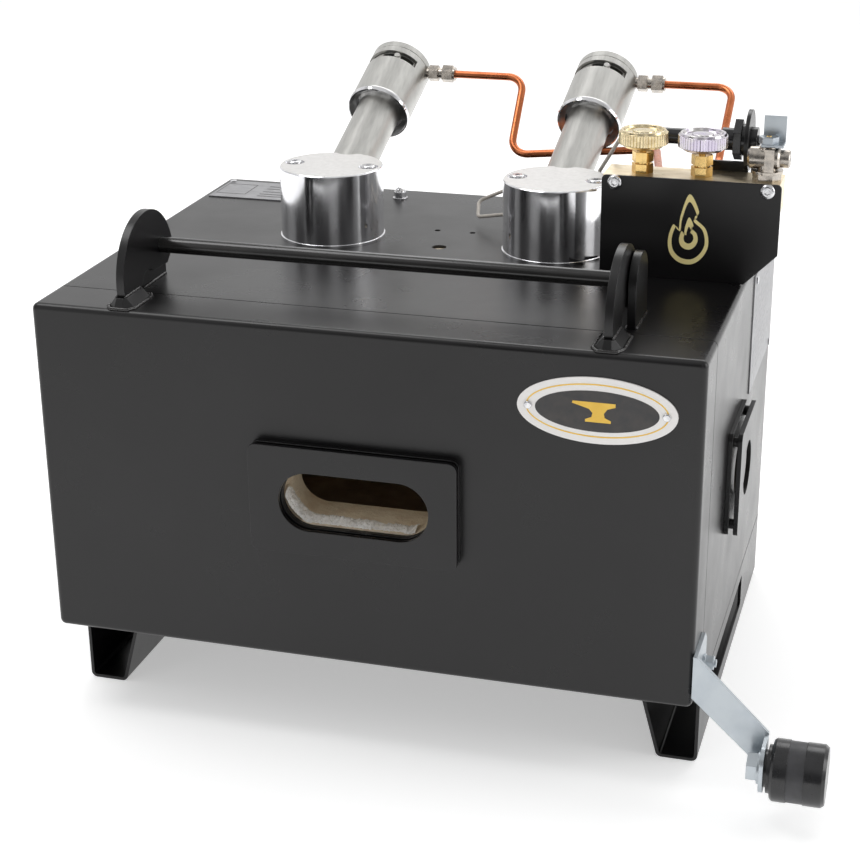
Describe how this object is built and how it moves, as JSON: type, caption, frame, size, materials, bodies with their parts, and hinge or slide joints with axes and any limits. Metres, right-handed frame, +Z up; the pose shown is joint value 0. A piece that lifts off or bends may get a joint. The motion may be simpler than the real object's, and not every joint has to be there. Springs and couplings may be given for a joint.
{
  "type": "gas forge",
  "caption": "Bench gas forge: a black steel box on folded legs with a tilt-up door, roof burners with copper feed pipes, and a brass valve manifold with igniter.",
  "frame": {"origin": "on the floor, at the bottom centre of the overall bounding box, 44.7 mm right of the middle of the box and 8.1 mm in front of it", "axes": "+X to the right seen from the front, where the knob is; +Y towards the back, the door faces -Y; +Z up"},
  "size_m": [0.6106, 0.4516, 0.4683],
  "materials": {
    "black_powder_coat": "satin",
    "black_rod": "gloss",
    "fibre": "matte",
    "tile": "matte",
    "label": "satin",
    "badge": "gloss",
    "fastener": "satin",
    "polished_aluminium": "polished",
    "satin_aluminium": "satin",
    "nickel_brass": "satin",
    "copper": "satin",
    "yellow_brass": "polished",
    "manifold_brass": "satin",
    "handwheel": "polished",
    "zinc": "satin",
    "black_plastic": "gloss",
    "bracket_steel": "satin",
    "lead": "satin",
    "porcelain": "gloss"
  },
  "bodies": {
    "forge_body": {"body_shell": "black_powder_coat", "back_panel": "black_powder_coat", "bottom_pan": "black_powder_coat", "left_leg": "black_powder_coat", "right_leg": "black_powder_coat", "floor_board": "fibre", "hearth_tiles": "tile", "wall_linings": "fibre", "roof_lining": "fibre", "hinge_plates": "black_powder_coat", "hinge_rod": "black_rod", "side_port_inner_plates": "black_powder_coat", "side_port_outer_plates": "black_powder_coat", "side_port_spacers": "black_powder_coat", "warning_plate": "label", "rating_plate": "label", "plate_rivets": "fastener", "dome_nut": "fastener", "left_burner_pot": "polished_aluminium", "right_burner_pot": "polished_aluminium", "pot_screws": "fastener", "mixing_tubes": "satin_aluminium", "air_bells": "satin_aluminium", "injectors": "nickel_brass", "pipe_nuts": "nickel_brass", "left_gas_pipe": "copper", "right_gas_pipe": "copper", "valve_panel": "black_powder_coat", "panel_screws": "fastener", "manifold_block": "manifold_brass", "valve_bodies": "yellow_brass", "ball_valve_body": "nickel_brass", "gas_inlet": "nickel_brass", "igniter_bracket": "bracket_steel", "igniter_body": "black_plastic", "igniter_nut": "black_plastic", "ignition_lead": "lead", "spark_electrode": "porcelain"},
    "door": {"door_shell": "black_powder_coat", "door_lining": "fibre", "front_port_inner_plate": "black_powder_coat", "front_port_outer_plate": "black_powder_coat", "front_port_spacers": "black_powder_coat", "door_ears": "black_powder_coat", "ear_feet": "black_powder_coat", "badge": "badge", "badge_screws": "fastener", "handle_bar": "zinc", "handle_bolts": "zinc", "handle_knob": "black_plastic"},
    "left_spindle": {"left_valve_spindle": "yellow_brass"},
    "left_wheel": {"left_handwheel": "handwheel"},
    "right_spindle": {"right_valve_spindle": "yellow_brass"},
    "right_wheel": {"right_handwheel": "handwheel"},
    "left_shutter": {"left_air_shutter": "satin_aluminium"},
    "right_shutter": {"right_air_shutter": "satin_aluminium"},
    "shutoff": {"ball_valve_ball": "yellow_brass", "ball_valve_stem": "yellow_brass", "ball_valve_lever": "zinc"},
    "igniter_push": {"igniter_button": "black_plastic"}
  },
  "joints": [
    {"name": "door_hinge", "type": "hinge", "parent": "forge_body", "child": "door", "pos_m": [-0.0447, -0.10893, 0.365], "axis": [-1, 0, 0], "range_deg": [0, 100]},
    {"name": "left_spindle_rise", "type": "slide", "parent": "forge_body", "child": "left_spindle", "axis": [0, 0, 1], "range_m": [0, 0.0015]},
    {"name": "left_handwheel_turn", "type": "hinge", "parent": "left_spindle", "child": "left_wheel", "pos_m": [0.1223, 0.01107, 0.44], "axis": [0, 0, 1], "range_deg": [0, 720]},
    {"name": "right_spindle_rise", "type": "slide", "parent": "forge_body", "child": "right_spindle", "axis": [0, 0, 1], "range_m": [0, 0.0015]},
    {"name": "right_handwheel_turn", "type": "hinge", "parent": "right_spindle", "child": "right_wheel", "pos_m": [0.1671, 0.01107, 0.44], "axis": [0, 0, 1], "range_deg": [0, 720]},
    {"name": "left_shutter_turn", "type": "hinge", "parent": "forge_body", "child": "left_shutter", "pos_m": [-0.13027, 0.20601, 0.4412], "axis": [0.069, 0.8761, 0.4772], "range_deg": [-85, 33]},
    {"name": "right_shutter_turn", "type": "hinge", "parent": "forge_body", "child": "right_shutter", "pos_m": [0.05373, 0.20601, 0.4412], "axis": [0.069, 0.8761, 0.4772], "range_deg": [-85, 33]},
    {"name": "shutoff_lever_turn", "type": "hinge", "parent": "forge_body", "child": "shutoff", "pos_m": [0.2156, 0.01107, 0.43], "axis": [0, 0, 1], "range_deg": [0, 90]},
    {"name": "igniter_press", "type": "slide", "parent": "forge_body", "child": "igniter_push", "axis": [-1, 0, 0], "range_m": [0, 0.003], "stiffness_N_per_m": 3000}
  ],
  "couplings": [
    {"joint": "left_handwheel_turn", "follows": "left_spindle_rise", "rad_per_m": 8377.6},
    {"joint": "right_handwheel_turn", "follows": "right_spindle_rise", "rad_per_m": 8377.6}
  ]
}
